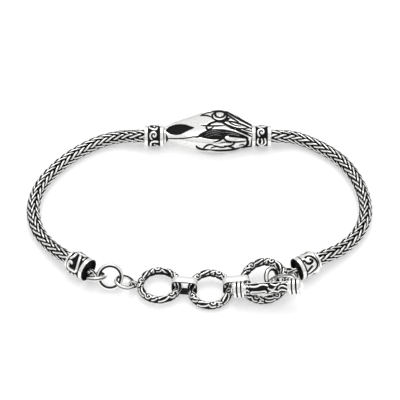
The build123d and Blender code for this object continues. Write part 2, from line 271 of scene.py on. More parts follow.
# Ornate rings: piece, solid, sizes, shift of the relief in repeats, centre and axis
second_axis = (0, -sin(radians(9)), cos(radians(9)))
ornate_rings = [
    ("vine_ring_1", "ornate_ring_1", small_ring, 0.3, (-8.865, -22.28, 1.6), upright),
    ("vine_ring_2", "ornate_ring_2", small_ring, 0.75, (2.204, -23.443, 1.6), second_axis),
    ("vine_toggle_ring", "toggle_ring", large_ring, 0.5, (14.05, -21.8, 2.53), (-0.151, -0.256, 0.955)),
]

# Plain rings in order: radius, wire, azimuth and elevation of the axis
plain_rings = [
    (1.8, 0.5, 97.2, 59.0),
    (2.5, 0.48, -88.3, 41.3),
    (1.96, 0.42, 36.0, 72.0),
    (2.45, 0.4, 98.3, 18.7),
    (2.3, 0.4, -121.1, 72.5),
]

# Soft lights: name, azimuth and height in degrees, distance, width and tallness in metres, and power
lamp_rows = [
    ("far light", 186, 60, 1.2, 0.5, 0.35, 2.0),
    ("top light", 175, 80, 1.3, 1.0, 0.8, 2.5),
]

# Head sections: share along, crown, throat and side, as in the solids
head_sections = [
    (0.0, 0.28, 0.2, 0.51),
    (0.1, 0.49, 0.39, 0.56),
    (0.3, 0.73, 0.75, 0.8),
    (0.58, 1.0, 1.0, 1.0),
    (0.7, 0.97, 0.95, 1.0),
    (0.81, 0.76, 0.77, 1.0),
    (0.92, 0.48, 0.54, 0.96),
    (1.0, 0.3, 0.46, 0.9),
]

# Carved lines on the head, read from the photograph: start, bend, end, width and depth share
head_lines = [
    (200, 115.3, 206, 112.3, 214, 111, 0.3, 0.8),
    (200, 115.3, 206, 115, 211, 116.8, 0.34, 0.9),
    (209, 112, 219.3, 110.3, 229, 112.6, 0.4, 1),
    (225, 111.8, 231, 117, 238, 121.8, 0.36, 1),
    (226.5, 110.8, 236, 117, 252, 126.3, 0.42, 1),
    (240, 116.8, 245, 121.5, 252.5, 125, 0.42, 1),
    (226, 120.8, 238, 123.2, 252, 129.3, 0.4, 1),
    (215, 118.6, 220.5, 120.6, 228.5, 118.2, 0.8, 1),
    (216.5, 120.6, 219.3, 121.2, 222, 120.6, 0.6, 1),
    (219, 121, 212, 122.5, 206.5, 126, 0.42, 1),
    (220, 121, 229, 126.5, 234, 129.6, 0.44, 1),
    (234, 129.6, 242, 132.5, 251, 137, 0.4, 1),
    (229, 125.2, 238, 128.6, 249.5, 127.8, 0.34, 1),
    (232.5, 126.6, 240, 130.5, 251.5, 134.3, 0.3, 0.9),
    (243, 129.8, 247, 130.6, 252, 132, 0.3, 0.9),
    (228.5, 121.5, 233.5, 124.8, 241, 126.2, 0.26, 0.8),
    (201, 125.2, 212, 125.9, 224, 125.3, 0.34, 1),
    (206, 125.8, 207.5, 129.5, 213, 127.2, 0.34, 0.9),
    (192, 137.2, 200, 136.2, 207, 130.5, 0.36, 1),
    (226.5, 133.8, 220, 140.5, 213, 142.6, 0.34, 1),
    (223, 137, 229, 142.2, 246, 141.4, 0.36, 1),
    (229, 137, 238, 137.4, 247.5, 139, 0.4, 1),
    (220, 143.6, 225, 142.8, 230.5, 143.6, 0.24, 0.8),
    (235, 142, 231, 145.8, 224, 146.4, 0.32, 1),
    (203, 149.2, 207.5, 145.6, 213, 145.8, 0.32, 1),
    (213, 145.8, 221, 147.8, 227, 146.8, 0.32, 1),
    (225, 146.8, 231, 147.6, 235.5, 149.8, 0.34, 1),
    (210.5, 148.9, 214.5, 147.4, 221, 147.4, 0.24, 0.8),
    (239, 145.8, 242, 145, 244, 145.6, 0.24, 0.7),
    (196, 146.4, 200, 149.4, 210, 150.3, 0.42, 1),
    (209, 150.3, 226, 150.8, 241, 147.6, 0.42, 1),
    (240, 147.9, 247, 145, 246.3, 139, 0.42, 1),
    (243, 148.9, 247, 147.2, 252, 146.4, 0.26, 0.7),
    (165.5, 138.4, 180, 138.9, 194, 137, 0.26, 0.9),
    (250.8, 123.5, 253.2, 135, 250.6, 147, 0.4, 1),
]
# Fine feather hatching behind the eye: start and end
hatch_lines = [
    (229, 112.9, 240.5, 120.5),
    (231.5, 112.9, 242.5, 120.4),
    (234, 113.6, 244, 120.6),
    (230, 116.4, 237, 121.6),
    (236.5, 115, 246, 121.9),
]
# Raised feather strokes inside the dark hollow: start, bend and end
hollow_feathers = [
    (204, 134.4, 212, 130.8, 222, 132.4),
    (222, 132.4, 231, 132.8, 239, 135.6),
    (204, 136.2, 212, 132.8, 220, 134),
    (206, 137.6, 214, 135, 221.5, 136.4),
    (226, 134.6, 233, 134.8, 241, 137),
]
# Outlines of the almond pocket and of the dark feather hollow
almond_outline = [(165.8, 130.6), (169, 126.3), (175, 124), (183, 123.9), (189, 125.7),
                  (193.6, 127.7), (187, 131), (179, 134.7), (171, 134.5)]
feather_outline = [(198, 136.3), (205.5, 130.9), (215, 129.1), (227, 130), (238, 133.2),
                   (248, 138.4), (238, 137.6), (227, 136.2), (220, 139.6), (210, 139.7)]
eye_pixel = (219.3, 115.8)
eye_flat = 1.18
eye_crescent = [(214.9, 113, 215.7, 115.8, 219.3, 117), (219.3, 117, 223.2, 116.2, 224.6, 113.6)]

# Motifs of the cast relief, in millimetres across and along: start, bend and end of each stroke
arch_strokes = [
    (-0.85, -0.95, 0.2, -1.25, 0.85, -0.6),
    (0.85, -0.6, 1.15, 0.3, 0.55, 0.75),
    (-0.85, -0.95, -1.1, 0.2, -0.5, 0.7),
]
hook_strokes = [
    (-0.95, 0.9, -0.9, -0.5, 0, -0.75),
    (0, -0.75, 0.95, -0.8, 0.95, 0.1),
    (0.95, 0.1, 0.8, 0.85, 0.2, 0.6),
]
leaf_strokes = [
    (-0.95, -0.8, 0.1, -0.9, 0.9, 0),
    (0.9, 0, 0.2, 0.9, -0.95, 0.8),
    (-0.8, 0, -0.3, 0.15, 0.25, 0),
]

# Raised strokes of one repeat of the ring relief, in millimetres along and across: start, bend, end and width
vine_strokes = [
    (0.2, -1.05, 1.3, -0.85, 2.3, -0.3, 0.36),
    (0.2, -0.25, 1.2, 0.2, 2.3, 0.3, 0.36),
    (0.3, 0.6, 1.3, 0.95, 2.3, 0.9, 0.32),
    (2.5, 0.4, 3.1, 0.9, 3.7, 0.45, 0.32),
    (3.7, 0.45, 3.75, -0.1, 3.2, -0.15, 0.32),
    (3.2, -0.15, 2.95, 0.05, 3.1, 0.35, 0.28),
    (2.5, -0.4, 3, -0.85, 3.7, -0.8, 0.34),
    (4.1, -1, 4.6, -0.85, 5.05, -1, 0.3),
    (4.1, 0.25, 4.6, -0.1, 5.1, -0.4, 0.36),
    (4.2, 0.95, 4.7, 0.7, 5.1, 0.3, 0.34),
    (4.4, -0.5, 4.45, -0.5, 4.5, -0.5, 0.36),
]
# Raised strokes of the motif that faces the camera on the left cap, across and along
jay_strokes = [
    (-2, -0.1, -1, 0.45, 0, 0.85),
    (0, 0.85, 1.1, 0.95, 1.4, 0.3),
    (1.4, 0.3, 1.3, -0.7, 0.7, -0.95),
    (0.7, -0.95, 0.15, -0.9, 0.25, -0.35),
    (-1.7, -0.8, -1, -0.7, -0.4, -1),
    (-1.6, 1.15, -1.4, 1.2, -1.2, 1.15),
]
# Lines cut into the motif that faces the camera on the right cap, across and along
curl_strokes = [
    (1.3, 0.5, 1.3, -0.3, 0.4, -0.9),
    (0.4, -0.9, -0.75, -0.9, -1.35, 0.1),
    (-1.35, 0.1, -1.55, 0.7, -1.6, 1.2),
    (0.9, 1.05, 0.2, 0.7, 0.1, -0.1),
    (0.1, -0.1, 0.35, -0.35, 0.65, -0.1),
    (-0.95, 1.15, -0.7, 0.65, -0.5, 0.15),
]
motifs = dict(arch=arch_strokes, hook=hook_strokes, leaf=leaf_strokes, jay=jay_strokes, curl=curl_strokes)
# Dots in two motifs: place and fade
motif_dots = {"arch": ((0.15, 0.1), 0.2, 0.36), "hook": ((-0.1, 0.15), 0.15, 0.3)}

# Raised strokes on half of the bar's middle, in millimetres along and around: start, bend, end and width
bar_strokes = [
    (-4.6, -1.35, 0, -1.5, 4.6, -1.35, 0.34),
    (-3.6, -0.55, -2.5, -0.4, -1.6, -0.6, 0.4),
    (-1.6, -0.6, -0.7, -0.8, 0.3, -0.5, 0.36),
    (-3.2, 0.6, -1.8, 0.68, -0.4, 0.56, 0.32),
    (-3.2, 1.16, -1.8, 1.26, -0.4, 1.12, 0.32),
    (-3.2, 0.6, -3.5, 0.88, -3.2, 1.16, 0.32),
    (-0.4, 0.56, -0.1, 0.84, -0.4, 1.12, 0.32),
    (-4.6, 0.5, -4.3, 0.2, -3.8, 0.5, 0.28),
    (-4.6, -0.2, -4.2, -0.65, -3.9, -0.35, 0.3),
    (-4.5, 1.2, -4.1, 0.95, -3.9, 1.3, 0.26),
    (0.4, 0.05, 1.2, 0.4, 2, -0.1, 0.32),
    (0.5, 1.1, 1.5, 0.7, 2.4, 0.95, 0.36),
    (2.4, 0.95, 3.3, 0.5, 4.5, 0.9, 0.34),
    (0.9, -0.95, 2, -0.5, 2.8, -0.9, 0.32),
    (2.6, 0.2, 3.3, -0.3, 4.5, 0.1, 0.32),
    (3.2, -0.85, 3.9, -1, 4.5, -0.7, 0.28),
]

# Control points of the woven chains, as in the solids
left_route = [
    (-11.4, 23.5, 2.8), (-15.0, 23.5, 2.8), (-18.9, 24.25, 1.95), (-23.6, 23.0, 1.6),
    (-29.0, 19.2, 1.55), (-33.6, 14.1, 1.55), (-37.15, 7.8, 1.55), (-38.25, 0.8, 1.55),
    (-36.7, -6.0, 1.55), (-33.1, -11.1, 1.65), (-30.18, -14.51, 2.8), (-27.33, -16.71, 2.8),
]
right_route = [
    (15.05, 23.5, 2.8), (18.65, 23.5, 2.8), (22.8, 24.1, 1.8), (28.0, 21.3, 1.55),
    (32.8, 17.1, 1.55), (36.0, 11.3, 1.55), (37.7, 4.9, 1.55), (37.75, -1.6, 1.55),
    (35.4, -7.3, 1.55), (31.7, -11.6, 1.65), (27.42, -14.88, 2.8), (24.36, -16.78, 2.8),
]


class Wire:
    """One output of a node, on which arithmetic adds Math nodes."""

    def __init__(self, tree, socket=None):
        self.tree = tree
        self.socket = socket

    def node(self, kind, values=None, settings=None, output=0):
        """Makes a node, sets it, fills its inputs and gives one of its outputs."""
        made = self.tree.nodes.new(kind)
        for name, value in (settings or {}).items():
            setattr(made, name, value)
        for name, value in (values or {}).items():
            for source in value if isinstance(value, list) else [value]:
                if isinstance(source, Wire):
                    self.tree.links.new(source.socket, made.inputs[name])
                else:
                    made.inputs[name].default_value = source
        return Wire(self.tree, made.outputs[output] if made.outputs else None)

    def other(self, output):
        """Another output of the same node."""
        return Wire(self.tree, self.socket.node.outputs[output])

    def maths(self, operation, first, second=0.0, clamp=False):
        settings = {"operation": operation, "use_clamp": clamp}
        return self.node("ShaderNodeMath", {0: first, 1: second}, settings)

    def spread(self, low, high, first, last, kind="LINEAR"):
        """This value taken from one range to another, and held inside it."""
        values = {"Value": self, "From Min": low, "From Max": high, "To Min": first, "To Max": last}
        return self.node("ShaderNodeMapRange", values, {"interpolation_type": kind})

    def __add__(self, other):
        return self.maths("ADD", self, other)

    def __radd__(self, other):
        return self.maths("ADD", other, self)

    def __sub__(self, other):
        return self.maths("SUBTRACT", self, other)

    def __rsub__(self, other):
        return self.maths("SUBTRACT", other, self)

    def __mul__(self, other):
        return self.maths("MULTIPLY", self, other)

    def __rmul__(self, other):
        return self.maths("MULTIPLY", other, self)


def bare_tree(owner):
    """The start of the emptied node tree of a material or a world."""
    owner.use_nodes = True
    owner.node_tree.nodes.clear()
    return Wire(owner.node_tree)


def grey(level):
    return (level, level, level, 1)


def silver(name, bright, black_level, roughness, blackening, wear):
    """Silver that is black where the attribute hollow is high, which holds patina and painted shade, with
    fine wear.
    """
    material = bpy.data.materials.new(name)
    start = bare_tree(material)
    make = start.node
    place = make("ShaderNodeTexCoord", output="Object")
    hollow = make("ShaderNodeAttribute", None, {"attribute_name": "hollow"}, "Fac")
    cloud = make("ShaderNodeTexNoise", {"Vector": place, "Scale": 1500.0, "Detail": 3.0})
    grain = make("ShaderNodeTexNoise", {"Vector": place, "Scale": 6000.0})
    along = make("ShaderNodeMapping",
                 {"Vector": place, "Rotation": (0.3, 0.2, 0.7), "Scale": (700.0, 9000.0, 900.0)})
    scratch = make("ShaderNodeTexNoise", {"Vector": along, "Scale": 1.0})
    soft = hollow * blackening + (cloud - 0.5) * wear
    dark = start.maths("MULTIPLY", soft, 1.0, clamp=True)
    black = grey(black_level)
    colour = make("ShaderNodeMix", {"Factor": dark, "A": bright, "B": black}, {"data_type": "RGBA"}, "Result")
    rough = dark * black_roughness + (grain - 0.5) * grain_roughness
    rough = rough + (scratch - 0.5) * scratch_roughness + roughness
    height = grain * grain_height + scratch * scratch_height
    bump = make("ShaderNodeBump", {"Height": height, "Strength": 0.08, "Distance": 0.00003})
    metal = make("ShaderNodeBsdfPrincipled",
                 {"Base Color": colour, "Metallic": 1.0, "Roughness": rough, "Normal": bump})
    patina = {"Base Color": black, "Roughness": 0.7, "Specular IOR Level": 0.1}
    patina = make("ShaderNodeBsdfPrincipled", patina)
    shader = make("ShaderNodeMixShader", {0: start.maths("POWER", dark, 2.0), 1: metal, 2: patina})
    make("ShaderNodeOutputMaterial", {"Surface": shader})
    return material


# Silvers by slot: name, bright colour, black level, roughness, blackening and wear
silvers = {
    "polished_silver": silver("polished silver", (0.93, 0.93, 0.92, 1), 0.02, 0.09, 1.0, 0.1),
    "ornate_silver": silver("cast silver", (0.92, 0.92, 0.91, 1), 0.008, 0.13, 1.35, 0.3),
    "woven_silver": silver("woven silver", (0.95, 0.95, 0.94, 1), 0.004, 0.14, 1.5, 0.3),
}


def full_turn(count):
    """Even angles round a full turn."""
    return np.linspace(0, 2 * pi, count, endpoint=False)


def skin(points, hollow, ring):
    """A part from a grid closed round its columns, and round its rows for a ring or else by poles."""
    rows, columns = points.shape[:2]
    row = np.arange(rows if ring else rows - 1)[:, None]
    column = np.arange(columns)[None, :]
    next_row = (row + 1) % rows
    next_column = (column + 1) % columns
    corners = [row * columns + column, row * columns + next_column,
               next_row * columns + next_column, next_row * columns + column]
    faces = np.stack(corners, axis=-1).reshape(-1, 4).tolist()
    flat = points.reshape(-1, 3)
    shade = np.broadcast_to(hollow, (rows, columns)).reshape(-1)
    if not ring:
        last = (rows - 1) * columns
        poles = [points[0].mean(axis=0), points[-1].mean(axis=0)]
        count = len(flat)
        flat = np.vstack([flat, poles])
        shade = np.append(shade, [shade[0], shade[-1]])
        for k in range(columns):
            step = (k + 1) % columns
            faces.append((count, step, k))
            faces.append((count + 1, last + k, last + step))
    return flat, faces, shade


def put(part, centre, z_way, x_way=upright):
    """The part moved to its centre, its z axis one way and its x axis toward another."""
    points, faces, shade = part
    z_axis = np.array(z_way, float) / np.linalg.norm(z_way)
    x_axis = np.array(x_way, float)
    x_axis = x_axis - z_axis * (x_axis @ z_axis)
    x_axis /= np.linalg.norm(x_axis)
    return points @ np.array([x_axis, np.cross(z_axis, x_axis), z_axis]) + centre, faces, shade


def placed(name, data):
    """A new object in the scene."""
    made = bpy.data.objects.new(name, data)
    bpy.context.scene.collection.objects.link(made)
    return made


def finish(made, node):
    """Rides and hides the solid."""
    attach(made, "root")
    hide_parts(node)


def piece(name, parts, node, slot="ornate_silver"):
    """One finished piece from its parts, in place of a solid."""
    points, faces, shade = [], [], []
    start = 0
    for part_points, part_faces, part_shade in parts:
        points.append((part_points + loop_shift) * mm)
        faces += [tuple(start + k for k in face) for face in part_faces]
        shade.append(part_shade)
        start += len(part_points)
    mesh = bpy.data.meshes.new(name)
    mesh.from_pydata(np.vstack(points).tolist(), [], faces)
    hollow = mesh.attributes.new("hollow", "FLOAT", "POINT")
    hollow.data.foreach_set("value", np.concatenate(shade).astype(np.float32))
    cleaned = bmesh.new()
    cleaned.from_mesh(mesh)
    bmesh.ops.recalc_face_normals(cleaned, faces=cleaned.faces)
    cleaned.to_mesh(mesh)
    cleaned.free()
    mesh.shade_smooth()
    mesh.materials.append(silvers[slot])
    finish(placed(name, mesh), node)


def rise(value, low, high):
    """A smooth step from 0 at low to 1 at high."""
    share = np.clip((value - low) / (high - low), 0, 1)
    return share * share * (3 - 2 * share)


def bend(*row, steps=14):
    """Points of a curve through the three points of a row."""
    share = np.linspace(0, 1, steps)[:, None]
    first, middle, last = np.reshape(row, (3, 2))
    pull = 2 * middle - (first + last) / 2
    return (1 - share) ** 2 * first + 2 * share * (1 - share) * pull + share ** 2 * last


def near(spots, path):
    """How far each spot is from a path, and how far along it is nearest."""
    best = np.full(len(spots), np.inf)
    where = np.zeros(len(spots))
    count = len(path) - 1
    for k in range(count):
        step = path[k + 1] - path[k]
        share = np.clip((spots - path[k]) @ step / (step @ step), 0, 1)
        gap = np.linalg.norm(spots - path[k] - share[:, None] * step, axis=1)
        closer = gap < best
        best[closer] = gap[closer]
        where[closer] = ((k + share) / count)[closer]
    return best, where


def line_mark(spots, path, width, tapered=True):
    """A mark from 0 to 1 along a path, thinner toward its ends."""
    gap, where = near(spots, path)
    half = width / 2
    if tapered:
        half = half * (tip_width + (1 - tip_width) * np.sin(pi * np.clip(where, *tip_places)) ** 0.5)
    return 1 - rise(gap, half * stroke_edges[0], half * stroke_edges[1])


def stroke_marks(spots, rows, width=None, scale=1, tapered=False):
    """The strongest mark of strokes, whose width is given or ends their rows."""
    mark = np.zeros(len(spots))
    for row in rows:
        path = bend(*row[:6]) * scale
        mark = np.maximum(mark, line_mark(spots, path, width or row[6], tapered))
    return mark


def inside(spots, outline, edge):
    """A mark from 0 outside a closed outline to 1 inside it."""
    loop = closed_curve(outline)
    x, y = spots[:, 0], spots[:, 1]
    within = np.zeros(len(spots), bool)
    for (x1, y1), (x2, y2) in zip(loop, np.roll(loop, -1, axis=0)):
        crossing = (y1 > y) != (y2 > y)
        with np.errstate(divide="ignore", invalid="ignore"):
            left = x < (x2 - x1) * (y - y1) / (y2 - y1) + x1
        within ^= crossing & left
    gap = near(spots, np.vstack([loop, loop[:1]]))[0]
    return rise(np.where(within, gap, -gap), -edge, edge)


def closed_curve(points, steps=6):
    """A smooth closed line through the points."""
    before, after, second = [np.roll(points, shift, axis=0) for shift in (1, -1, -2)]
    rows = []
    for t in np.arange(steps) / steps:
        bowed = (2 * before - 5 * points + 4 * after - second) * t ** 2
        twisted = (3 * points - before - 3 * after + second) * t ** 3
        rows.append(0.5 * (2 * points + (after - before) * t + bowed + twisted))
    return np.stack(rows, axis=1).reshape(-1, 2)


def through(x, table, column):
    """A smooth curve through one column of a table, over its first column."""
    xs = np.array([row[0] for row in table])
    ys = np.array([row[column] for row in table])
    secant = np.diff(ys) / np.diff(xs)
    slope = np.concatenate([[secant[0]], (secant[1:] + secant[:-1]) / 2, [secant[-1]]])
    flat = np.concatenate([[False], secant[1:] * secant[:-1] <= 0, [False]])
    slope[flat] = 0
    k = np.clip(np.searchsorted(xs, x) - 1, 0, len(xs) - 2)
    width = xs[k + 1] - xs[k]
    t = (x - xs[k]) / width
    return ((1 + 2 * t) * (1 - t) ** 2 * ys[k] + t * (1 - t) ** 2 * width * slope[k]
            + t * t * (3 - 2 * t) * ys[k + 1] + t * t * (t - 1) * width * slope[k + 1])


def normals(points):
    """The outward way at each point of a grid that closes round its columns."""
    along = np.gradient(points, axis=0)
    around = np.roll(points, -1, axis=1) - np.roll(points, 1, axis=1)
    way = np.cross(around, along)
    return way / np.maximum(np.linalg.norm(way, axis=2, keepdims=True), 1e-9)


def head_relief(x, y, z, way):
    """How deep the head's skin is carved and how dark it is."""
    flip = np.where(z < mirror_height, -1, 1)
    pixel_x = side_pixel[0] + pixels_along * x
    pixel_y = side_pixel[1] - side_y_pixels * y - side_z_pixels * (z * flip)
    scale = np.array((1 / pixels_along, 1 / pixels_up))
    spots = np.stack([pixel_x, pixel_y], axis=-1).reshape(-1, 2) * scale
    upward = way[..., 1]
    facing = way[..., 2] * view_up * flip - upward * view_near
    seam = 1 - rise(abs(z - mirror_height), *seam_fade)
    seen = (rise(facing, *seen_fade) * (1 - seam)).reshape(-1)

    # Lines and the rings round the eye
    carve = np.zeros(len(spots))
    for *row, width, share in head_lines:
        carve = np.maximum(carve, share * line_mark(spots, bend(*row) * scale, width * line_weight))
    for row in hatch_lines:
        path = np.reshape(row, (2, 2)) * scale
        carve = np.maximum(carve, hatch_depth * line_mark(spots, path, hatch_width))
    eye_gap = np.linalg.norm((spots - eye_pixel * scale) * (1, eye_flat), axis=1)
    carve *= rise(eye_gap, *eye_clear_fade)
    rings = (1 - rise(abs(eye_gap - eye_ring), *eye_ring_fade)) * (1 - rise(eye_gap, *eye_zone_fade))
    crescent = stroke_marks(spots, eye_crescent, crescent_width, scale)
    lines = np.maximum(carve, np.maximum(rings, crescent))

    # Hollows and the raised eyeball
    almond = inside(spots, almond_outline * scale, almond_edge)
    hollow = inside(spots, feather_outline * scale, hollow_edge)
    ridge = stroke_marks(spots, hollow_feathers, ridge_width, scale, True)
    pupil = (1 - rise(eye_gap, *pupil_fade)) * pupil_height
    iris = rise(eye_gap, *iris_start_fade) * (1 - rise(eye_gap, *iris_end_fade)) * iris_height
    hollow_floor = hollow_depth * hollow_share - ridge * ridge_height
    cut = np.maximum.reduce([lines * groove_depth, almond * hollow_depth, hollow * hollow_floor])
    tone = np.maximum.reduce([rise(lines, *tone_fade), almond, hollow * (1.0 - ridge_shine * ridge)])
    shown = far_depth + (1 - far_depth) * rise(facing, *far_depth_fade)
    depth = ((cut - (pupil + iris)) * seen).reshape(x.shape) * shown
    dark = (tone * seen).reshape(x.shape)

    # Long feathers over the crown, and painted shade: grey on the crown and the throat, and dark along edges
    # seen side-on
    plume = abs(np.sin(pi * (z / plume_pitch + plume_wave * np.sin(x * plume_bend))))
    plume = (1 - rise(plume, *plume_fade)) * rise(x, *plume_start) * rise(upward, *crown_fade)
    plume *= 1 - rise(x, *plume_end)
    shades = [plume * plume_tone, crown_shade * rise(upward, *level_fade),
              throat_shade * rise(-upward, *level_fade),
              edge_shade * rise(edge_reach - abs(facing), 0.0, edge_fade)]
    return np.maximum(depth, plume * groove_depth * plume_depth), np.maximum.reduce([dark, *shades])


def eagle_head():
    """The head with its carving, its collar and its spigots."""
    along = np.linspace(0, 1, head_rows)
    around = full_turn(head_columns)
    high = through(along, head_sections, 1) * head_rise
    low = through(along, head_sections, 2) * head_drop
    half = through(along, head_sections, 3) * head_half
    middle = ((high - low) / 2)[:, None]
    up = ((high + low) / 2)[:, None]
    side = half[:, None]
    angle = np.arctan2(side * np.sin(around), up * np.cos(around))
    power = head_squareness
    reach = (abs(np.cos(angle) / up) ** power + abs(np.sin(angle) / side) ** power) ** (-1 / power)
    y = middle + reach * np.cos(angle)
    z = reach * np.sin(angle)
    x = np.broadcast_to((along * head_length)[:, None], y.shape)
    points = np.stack([x, y, z], axis=-1)
    way = normals(points)
    row = head_rows // 2
    if (way[row, :, 1] * (y[row] - middle[row])).sum() < 0:
        way = -way
    depth, dark = head_relief(x, y, z, way)
    ends = rise(along, 0.0, carving_start) * (1 - rise(along, carving_end, 1.0))
    points = points - way * (depth * ends[:, None])[..., None]
    shell = put(skin(points, dark, False), head_start, upright, along_row)
    cut_radius = collar_radius - collar_corner
    profile = [(0.0, collar_bore), (hair, cut_radius), (collar_corner, collar_radius),
               (collar_width - collar_corner, collar_radius), (collar_width, cut_radius),
               (collar_width + hair, collar_bore)]
    # The collar's flat faces are painted shade, where it meets the head and the bead
    collar = turned(profile, collar_columns,
                    relief=lambda height, radius, angle: (0, 1 - rise(radius, *collar_shade_fade)))
    collar = put(collar, head_start, along_row)
    spigot = turned([(0.0, spigot_tip), (spigot_sink, spigot_radius), (spigot_length, spigot_radius),
                     (spigot_length + spigot_sink, spigot_tip)], spigot_columns)
    spigots = [put(spigot, head_start + (shift, 0, 0), along_row)
               for shift in (-spigot_length, head_length - spigot_sink)]
    piece("carved_eagle_head", [shell, collar, *spigots], "eagle_head")


def rounded(profile, size=0.07, longest=0.4):
    """The profile with a small round at each corner."""
    corners = np.array(profile, float)
    rows = [corners[0]]
    for before, here, after in zip(corners, corners[1:], corners[2:]):
        first, last = [here + side * min(longest, size / max(np.linalg.norm(side), 1e-9))
                       for side in (before - here, after - here)]
        rows += [first, (first + 2 * here + last) / 4, last]
    rows.append(corners[-1])
    return np.array(rows)


def divided(profile, step):
    """The profile with its long runs divided."""
    rows = [profile[0]]
    for before, here in zip(profile, profile[1:]):
        count = max(1, int(np.ceil(np.linalg.norm(here - before) / step)))
        rows += [before + (here - before) * k / count for k in range(1, count + 1)]
    return np.array(rows)


def turned(profile, count, step=None, relief=None, ring=False):
    """A part turned about its z axis, from heights and radii, with relief raised on it."""
    line = rounded(profile)
    if step:
        line = divided(line, step)
    if ring:
        line = line[:-1]
    angle = full_turn(count)[None, :]
    height = line[:, :1] + 0 * angle
    radius = line[:, 1:] + 0 * angle
    dark = np.zeros(height.shape)
    if relief:
        lift, dark = relief(height, radius, angle + 0 * height)
        radius = radius + lift
    points = np.stack([radius * np.cos(angle), radius * np.sin(angle), height], axis=-1)
    return skin(points, dark, ring)


def ring_grid(radius, wire, angle, section):
    """Points round the wire of a ring about its own z axis."""
    reach = radius + wire * np.cos(section)
    height = wire * np.sin(section) + 0 * angle
    return np.stack([reach * np.cos(angle), reach * np.sin(angle), height], axis=-1)


def ring_angles(count, sides):
    """Angles round a ring, as rows, and round its wire, as columns."""
    return full_turn(count)[:, None], full_turn(sides)[None, :]


def wire_ring(radius, wire, count=96, sides=24):
    """A plain round ring, black on its inner shoulders and a little round its rim: painted dark reflection
    lines.
    """
    angle, section = ring_angles(count, sides)
    shoulder = 1 - rise(abs(np.cos(section) + shoulder_place), *shoulder_fade)
    rim = rim_line * rise(np.cos(section), *rim_fade)
    return skin(ring_grid(radius, wire, angle, section), np.maximum(shoulder, rim), True)


def spiral(turns=1.1, inward=0.86, start=-0.6, steps=40):
    """A scroll that winds in to its middle, with a tail."""
    share = np.linspace(0, 1, steps)
    reach = 1 - inward * share
    angle = start - 2 * pi * turns * share
    return np.stack([reach * np.cos(angle), reach * np.sin(angle)], axis=-1)


def motif_marks(across, along, size, kind, stroke):
    """The raised strokes of one motif, over spots round and along a drum."""
    spots = np.stack([across.reshape(-1), along.reshape(-1)], axis=-1)
    close = abs(spots[:, 0]) < motif_reach * size
    mark = np.zeros(len(spots))
    local = spots[close] / size
    if kind == "scroll":
        found = line_mark(local, spiral(), stroke / size, False)
    else:
        found = stroke_marks(local, motifs[kind], stroke / size)
    if kind in motif_dots:
        place, *fade = motif_dots[kind]
        found = np.maximum(found, 1 - rise(np.linalg.norm(local - place, axis=1), *fade))
    mark[close] = found
    return mark.reshape(across.shape)


def scroll_band(middle, half_width, ground, kinds, first, size, stroke=stroke_width, cut=False):
    """A relief of motifs in a row round a drum, raised, or cut into raised metal."""
    def relief(height, radius, angle):
        on_drum = (abs(radius - ground) < hair) & (abs(height - middle) < half_width + drum_margin)
        mark = np.zeros(height.shape)
        pitch = 360 / len(kinds)
        for k, kind in enumerate(kinds):
            away = (np.degrees(angle) - first - k * pitch + 180) % 360 - 180
            found = motif_marks(np.radians(away) * ground, height - middle, size, kind, stroke)
            mark = np.maximum(mark, found)
        mark = 1 - mark if cut else mark
        mark *= on_drum * (1 - rise(abs(height - middle), half_width - wall_fade, half_width))
        return mark * relief_height, on_drum * (1 - mark)
    return relief


def bead(side, centre_x, first, kinds):
    """A bead with two flanges and scrolls between them."""
    ground = bead_radius - relief_height
    inner = bead_half - bead_flange
    profile = [(-bead_half, bore_radius), (-bead_half, bead_radius), (-inner, bead_radius), (-inner, ground),
               (inner, ground), (inner, bead_radius), (bead_half, bead_radius), (bead_half, bore_radius),
               (-bead_half, bore_radius)]
    scrolls = scroll_band(0.0, inner - bead_margin, ground, kinds, first, bead_motif)

    def relief(height, radius, angle):
        lift, dark = scrolls(height, radius, angle)
        walls = 1 - rise(radius, ground + hair, bead_radius - wall_fade)
        # The flat end faces are painted shade, where the bead meets its neighbours
        ends = (abs(height) > bead_half - bead_face_depth) * (1 - rise(radius, *bead_face_shade_fade))
        return lift, np.maximum(np.maximum(dark, ends), np.where(lift > hair, dark, walls))

    drum = put(turned(profile, *bead_grid, relief, True), (centre_x, *head_start[1:]), along_row)
    piece("scroll_bead_" + side, [drum], "bead_" + side)


def bearing(azimuth, elevation=0):
    """The way of an azimuth and an elevation in degrees."""
    flat = cos(radians(elevation))
    return flat * cos(radians(azimuth)), flat * sin(radians(azimuth)), sin(radians(elevation))


def cap(side, start, heading, eye_place, eye_axis, first, kinds, stroke, cut):
    """A cup cap from its chain end to its mouth, with the eye in the mouth."""
    ground = cap_radius - relief_height

    # Heights and radii from the floor of the bore, round the outside, to the floor of the mouth
    profile = [(1.75, hair), (1.75, bore_radius), (0.0, bore_radius), (0.0, cap_neck), (0.5, cap_neck),
               (0.55, cap_neck - 0.3), (0.85, ground), (4.4, ground), (4.4, cap_radius),
               (cap_length, cap_radius), (cap_length, cap_mouth), (cap_mouth_floor, cap_mouth - 0.1),
               (cap_mouth_floor, hair)]
    scrolls = scroll_band(*cap_band, ground, kinds, first, cap_motif, stroke, cut)

    def relief(height, radius, angle):
        lift, dark = scrolls(height, radius, angle)
        walls = 1 - rise(radius, ground + hair, cap_radius - wall_fade)
        # The neck's end face, where the chain goes in, is painted shade
        tone = np.where(height < cap_neck_top, 1 - rise(radius, *cap_neck_shade_fade), walls)
        return lift, np.where(lift > hair, dark, tone)

    way = bearing(heading)
    drum = put(turned(profile, *cap_grid, relief), start, way, np.cross(upright, way))
    eye = put(wire_ring(*cap_eye), eye_place, eye_axis, eye_seam)
    piece("cup_cap_" + side, [drum, eye], "cap_" + side)


